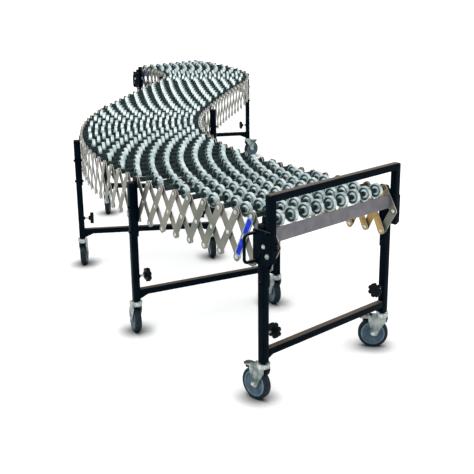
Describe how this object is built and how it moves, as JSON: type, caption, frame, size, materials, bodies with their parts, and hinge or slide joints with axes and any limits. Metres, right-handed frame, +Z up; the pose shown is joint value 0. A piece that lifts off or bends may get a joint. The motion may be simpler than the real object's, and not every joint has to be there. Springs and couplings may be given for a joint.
{
  "type": "flexible skate wheel conveyor",
  "caption": "Flexible gravity conveyor: rows of skate wheels on a scissor-link deck that bends in an S, on castored stands with an end stop.",
  "frame": {"origin": "on the floor, under the middle of the whole part's box", "axes": "+Z up. +Y away from the end with the stop, to the far end. +X to the right of someone who looks along +Y"},
  "size_m": [1.5464, 5.2516, 0.798],
  "materials": {
    "black_steel": "semi-gloss paint",
    "zinc_steel": "zinc plated",
    "bright_wheel": "bright zinc plated",
    "caster_hub": "matt",
    "black_plastic": "matt",
    "grey_channel": "satin"
  },
  "bodies": {
    "deck": {"stand_2": "black_steel", "stand_3": "black_steel", "stand_4": "black_steel", "stand_5": "black_steel", "stand_6": "black_steel", "deck_bay_1": "zinc_steel", "deck_bay_2": "zinc_steel", "deck_bay_3": "zinc_steel", "deck_bay_4": "zinc_steel", "deck_bay_5": "zinc_steel", "far_channel": "grey_channel", "far_handle": "black_steel"},
    "front_end": {"stand_1": "black_steel", "end_stop": "black_steel", "front_channel": "grey_channel", "front_handle": "black_steel", "axle_1": "zinc_steel"},
    "second_axle": {"axle_2": "zinc_steel"},
    "outer_link_1_left": {"outer_link_1_left": "zinc_steel"},
    "inner_link_1_left": {"inner_link_1_left": "zinc_steel"},
    "outer_link_2_left": {"outer_link_2_left": "zinc_steel"},
    "inner_link_2_left": {"inner_link_2_left": "zinc_steel"},
    "outer_link_1_right": {"outer_link_1_right": "zinc_steel"},
    "inner_link_1_right": {"inner_link_1_right": "zinc_steel"},
    "outer_link_2_right": {"outer_link_2_right": "zinc_steel"},
    "inner_link_2_right": {"inner_link_2_right": "zinc_steel"},
    "wheel_row_1": {"wheel_row_1": "bright_wheel"},
    "wheel_row_2": {"wheel_row_2": "bright_wheel"},
    "wheel_row_3": {"wheel_row_3": "bright_wheel"},
    "wheel_row_4": {"wheel_row_4": "bright_wheel"},
    "inner_leg_left": {"inner_leg_left": "black_steel"},
    "height_knob_left": {"height_knob_left": "black_plastic"},
    "inner_leg_right": {"inner_leg_right": "black_steel"},
    "height_knob_right": {"height_knob_right": "black_plastic"},
    "caster_fork_1_left": {"caster_fork_1_left": "zinc_steel"},
    "caster_wheel_1_left": {"caster_wheel_1_left": "caster_hub"},
    "brake_pedal_left": {"brake_pedal_left": "black_plastic"},
    "caster_fork_1_right": {"caster_fork_1_right": "zinc_steel"},
    "caster_wheel_1_right": {"caster_wheel_1_right": "caster_hub"},
    "brake_pedal_right": {"brake_pedal_right": "black_plastic"},
    "caster_fork_2_left": {"caster_fork_2_left": "zinc_steel"},
    "caster_wheel_2_left": {"caster_wheel_2_left": "caster_hub"},
    "caster_fork_2_right": {"caster_fork_2_right": "zinc_steel"},
    "caster_wheel_2_right": {"caster_wheel_2_right": "caster_hub"},
    "caster_fork_3_left": {"caster_fork_3_left": "zinc_steel"},
    "caster_wheel_3_left": {"caster_wheel_3_left": "caster_hub"},
    "caster_fork_3_right": {"caster_fork_3_right": "zinc_steel"},
    "caster_wheel_3_right": {"caster_wheel_3_right": "caster_hub"},
    "caster_fork_4_left": {"caster_fork_4_left": "zinc_steel"},
    "caster_wheel_4_left": {"caster_wheel_4_left": "caster_hub"},
    "caster_fork_4_right": {"caster_fork_4_right": "zinc_steel"},
    "caster_wheel_4_right": {"caster_wheel_4_right": "caster_hub"},
    "caster_fork_5_left": {"caster_fork_5_left": "zinc_steel"},
    "caster_wheel_5_left": {"caster_wheel_5_left": "caster_hub"},
    "caster_fork_5_right": {"caster_fork_5_right": "zinc_steel"},
    "caster_wheel_5_right": {"caster_wheel_5_right": "caster_hub"},
    "caster_fork_6_left": {"caster_fork_6_left": "zinc_steel"},
    "caster_wheel_6_left": {"caster_wheel_6_left": "caster_hub"},
    "caster_fork_6_right": {"caster_fork_6_right": "zinc_steel"},
    "caster_wheel_6_right": {"caster_wheel_6_right": "caster_hub"}
  },
  "joints": [
    {"name": "front_end_slide", "type": "slide", "parent": "deck", "child": "front_end", "axis": [0.6833, -0.7302, 0], "range_m": [-0.066, 0.05]},
    {"name": "second_axle_slide", "type": "slide", "parent": "deck", "child": "second_axle", "axis": [0.6833, -0.7302, 0], "range_m": [-0.033, 0.025]},
    {"name": "outer_link_1_left_pivot", "type": "hinge", "parent": "front_end", "child": "outer_link_1_left", "pos_m": [0.22988, -2.55884, 0.691], "axis": [0.7302, 0.6833, 0], "range_deg": [-10.98, 8.35]},
    {"name": "inner_link_1_left_pivot", "type": "hinge", "parent": "second_axle", "child": "inner_link_1_left", "pos_m": [0.17984, -2.49366, 0.691], "axis": [-0.7302, -0.6833, 0], "range_deg": [-10.98, 8.35]},
    {"name": "outer_link_2_left_pivot", "type": "hinge", "parent": "second_axle", "child": "outer_link_2_left", "pos_m": [0.174, -2.49912, 0.691], "axis": [0.7302, 0.6833, 0], "range_deg": [-10.98, 8.35]},
    {"name": "inner_link_2_left_pivot", "type": "hinge", "parent": "deck", "child": "inner_link_2_left", "pos_m": [0.12397, -2.43395, 0.691], "axis": [-0.7302, -0.6833, 0], "range_deg": [-10.98, 8.35]},
    {"name": "outer_link_1_right_pivot", "type": "hinge", "parent": "front_end", "child": "outer_link_1_right", "pos_m": [0.70667, -2.11266, 0.691], "axis": [0.7302, 0.6833, 0], "range_deg": [-10.98, 8.35]},
    {"name": "inner_link_1_right_pivot", "type": "hinge", "parent": "second_axle", "child": "inner_link_1_right", "pos_m": [0.64496, -2.05841, 0.691], "axis": [-0.7302, -0.6833, 0], "range_deg": [-10.98, 8.35]},
    {"name": "outer_link_2_right_pivot", "type": "hinge", "parent": "second_axle", "child": "outer_link_2_right", "pos_m": [0.6508, -2.05295, 0.691], "axis": [0.7302, 0.6833, 0], "range_deg": [-10.98, 8.35]},
    {"name": "inner_link_2_right_pivot", "type": "hinge", "parent": "deck", "child": "inner_link_2_right", "pos_m": [0.58908, -1.9987, 0.691], "axis": [-0.7302, -0.6833, 0], "range_deg": [-10.98, 8.35]},
    {"name": "wheel_row_1_spin", "type": "hinge", "parent": "front_end", "child": "wheel_row_1", "pos_m": [0.46828, -2.33575, 0.691], "axis": [0.7302, 0.6833, 0], "continuous": true},
    {"name": "wheel_row_2_spin", "type": "hinge", "parent": "second_axle", "child": "wheel_row_2", "pos_m": [0.4124, -2.27603, 0.691], "axis": [0.7302, 0.6833, 0], "continuous": true},
    {"name": "wheel_row_3_spin", "type": "hinge", "parent": "deck", "child": "wheel_row_3", "pos_m": [0.35652, -2.21632, 0.691], "axis": [0.7302, 0.6833, 0], "continuous": true},
    {"name": "wheel_row_4_spin", "type": "hinge", "parent": "deck", "child": "wheel_row_4", "pos_m": [0.30105, -2.15624, 0.691], "axis": [0.7516, 0.6596, 0], "continuous": true},
    {"name": "inner_leg_left_slide", "type": "slide", "parent": "front_end", "child": "inner_leg_left", "axis": [0, 0, -1], "range_m": [0, 0.25]},
    {"name": "height_knob_left_turn", "type": "hinge", "parent": "front_end", "child": "height_knob_left", "pos_m": [0.22367, -2.56464, 0.266], "axis": [0.7302, 0.6833, 0], "range_deg": [-720, 0]},
    {"name": "inner_leg_right_slide", "type": "slide", "parent": "front_end", "child": "inner_leg_right", "axis": [0, 0, -1], "range_m": [0, 0.25]},
    {"name": "height_knob_right_turn", "type": "hinge", "parent": "front_end", "child": "height_knob_right", "pos_m": [0.71288, -2.10685, 0.266], "axis": [0.7302, 0.6833, 0], "range_deg": [-720, 0]},
    {"name": "caster_swivel_1_left", "type": "hinge", "parent": "inner_leg_left", "child": "caster_fork_1_left", "pos_m": [0.21272, -2.57489, 0.155], "axis": [0, 0, 1], "continuous": true},
    {"name": "caster_roll_1_left", "type": "hinge", "parent": "caster_fork_1_left", "child": "caster_wheel_1_left", "pos_m": [0.18722, -2.54948, 0.0625], "axis": [-0.7059, -0.7083, 0], "continuous": true},
    {"name": "brake_pedal_left_press", "type": "hinge", "parent": "caster_fork_1_left", "child": "brake_pedal_left", "pos_m": [0.17589, -2.53819, 0.12967], "axis": [-0.7059, -0.7083, 0], "range_deg": [0, 8]},
    {"name": "caster_swivel_1_right", "type": "hinge", "parent": "inner_leg_right", "child": "caster_fork_1_right", "pos_m": [0.72383, -2.0966, 0.155], "axis": [0, 0, 1], "continuous": true},
    {"name": "caster_roll_1_right", "type": "hinge", "parent": "caster_fork_1_right", "child": "caster_wheel_1_right", "pos_m": [0.68827, -2.09103, 0.0625], "axis": [-0.1547, -0.988, 0], "continuous": true},
    {"name": "brake_pedal_right_press", "type": "hinge", "parent": "caster_fork_1_right", "child": "brake_pedal_right", "pos_m": [0.67246, -2.08855, 0.12967], "axis": [-0.1547, -0.988, 0], "range_deg": [0, 8]},
    {"name": "caster_swivel_2_left", "type": "hinge", "parent": "deck", "child": "caster_fork_2_left", "pos_m": [-0.3191, -1.93683, 0.155], "axis": [0, 0, 1], "continuous": true},
    {"name": "caster_roll_2_left", "type": "hinge", "parent": "caster_fork_2_left", "child": "caster_wheel_2_left", "pos_m": [-0.33105, -1.90287, 0.0625], "axis": [-0.9433, -0.3319, 0], "continuous": true},
    {"name": "caster_swivel_2_right", "type": "hinge", "parent": "deck", "child": "caster_fork_2_right", "pos_m": [0.30247, -1.61487, 0.155], "axis": [0, 0, 1], "continuous": true},
    {"name": "caster_roll_2_right", "type": "hinge", "parent": "caster_fork_2_right", "child": "caster_wheel_2_right", "pos_m": [0.28818, -1.58183, 0.0625], "axis": [-0.9179, -0.3969, 0], "continuous": true},
    {"name": "caster_swivel_3_left", "type": "hinge", "parent": "deck", "child": "caster_fork_3_left", "pos_m": [-0.70395, -1.00984, 0.155], "axis": [0, 0, 1], "continuous": true},
    {"name": "caster_roll_3_left", "type": "hinge", "parent": "caster_fork_3_left", "child": "caster_wheel_3_left", "pos_m": [-0.70521, -0.97386, 0.0625], "axis": [-0.9994, -0.0349, 0], "continuous": true},
    {"name": "caster_swivel_3_right", "type": "hinge", "parent": "deck", "child": "caster_fork_3_right", "pos_m": [-0.01077, -0.91243, 0.155], "axis": [0, 0, 1], "continuous": true},
    {"name": "caster_roll_3_right", "type": "hinge", "parent": "caster_fork_3_right", "child": "caster_wheel_3_right", "pos_m": [-0.01825, -0.87721, 0.0625], "axis": [-0.9781, -0.2079, 0], "continuous": true},
    {"name": "caster_swivel_4_left", "type": "hinge", "parent": "deck", "child": "caster_fork_4_left", "pos_m": [-0.71337, 0.00507, 0.155], "axis": [0, 0, 1], "continuous": true},
    {"name": "caster_roll_4_left", "type": "hinge", "parent": "caster_fork_4_left", "child": "caster_wheel_4_left", "pos_m": [-0.71498, 0.04104, 0.0625], "axis": [-0.999, -0.0447, 0], "continuous": true},
    {"name": "caster_swivel_4_right", "type": "hinge", "parent": "deck", "child": "caster_fork_4_right", "pos_m": [-0.01651, -0.06124, 0.155], "axis": [0, 0, 1], "continuous": true},
    {"name": "caster_roll_4_right", "type": "hinge", "parent": "caster_fork_4_right", "child": "caster_wheel_4_right", "pos_m": [-0.00999, -0.02584, 0.0625], "axis": [-0.9835, 0.1811, 0], "continuous": true},
    {"name": "caster_swivel_5_left", "type": "hinge", "parent": "deck", "child": "caster_fork_5_left", "pos_m": [-0.47186, 1.61693, 0.155], "axis": [0, 0, 1], "continuous": true},
    {"name": "caster_roll_5_left", "type": "hinge", "parent": "caster_fork_5_left", "child": "caster_wheel_5_left", "pos_m": [-0.48001, 1.65199, 0.0625], "axis": [-0.974, -0.2264, 0], "continuous": true},
    {"name": "caster_swivel_5_right", "type": "hinge", "parent": "deck", "child": "caster_fork_5_right", "pos_m": [0.21733, 1.73951, 0.155], "axis": [0, 0, 1], "continuous": true},
    {"name": "caster_roll_5_right", "type": "hinge", "parent": "caster_fork_5_right", "child": "caster_wheel_5_right", "pos_m": [0.24566, 1.76171, 0.0625], "axis": [-0.6168, 0.7871, 0], "continuous": true},
    {"name": "caster_swivel_6_left", "type": "hinge", "parent": "deck", "child": "caster_fork_6_left", "pos_m": [-0.70226, 2.10306, 0.155], "axis": [0, 0, 1], "continuous": true},
    {"name": "caster_roll_6_left", "type": "hinge", "parent": "caster_fork_6_left", "child": "caster_wheel_6_left", "pos_m": [-0.72571, 2.13038, 0.0625], "axis": [-0.7589, -0.6512, 0], "continuous": true},
    {"name": "caster_swivel_6_right", "type": "hinge", "parent": "deck", "child": "caster_fork_6_right", "pos_m": [-0.17103, 2.55891, 0.155], "axis": [0, 0, 1], "continuous": true},
    {"name": "caster_roll_6_right", "type": "hinge", "parent": "caster_fork_6_right", "child": "caster_wheel_6_right", "pos_m": [-0.19964, 2.58076, 0.0625], "axis": [-0.6069, -0.7948, 0], "continuous": true}
  ],
  "couplings": [
    {"joint": "second_axle_slide", "follows": "front_end_slide", "ratio": 0.5},
    {"joint": "outer_link_1_left_pivot", "follows": "front_end_slide", "rad_per_m": 2.8783},
    {"joint": "inner_link_1_left_pivot", "follows": "front_end_slide", "rad_per_m": 2.8783},
    {"joint": "outer_link_2_left_pivot", "follows": "front_end_slide", "rad_per_m": 2.8783},
    {"joint": "inner_link_2_left_pivot", "follows": "front_end_slide", "rad_per_m": 2.8783},
    {"joint": "outer_link_1_right_pivot", "follows": "front_end_slide", "rad_per_m": 2.8783},
    {"joint": "inner_link_1_right_pivot", "follows": "front_end_slide", "rad_per_m": 2.8783},
    {"joint": "outer_link_2_right_pivot", "follows": "front_end_slide", "rad_per_m": 2.8783},
    {"joint": "inner_link_2_right_pivot", "follows": "front_end_slide", "rad_per_m": 2.8783}
  ]
}
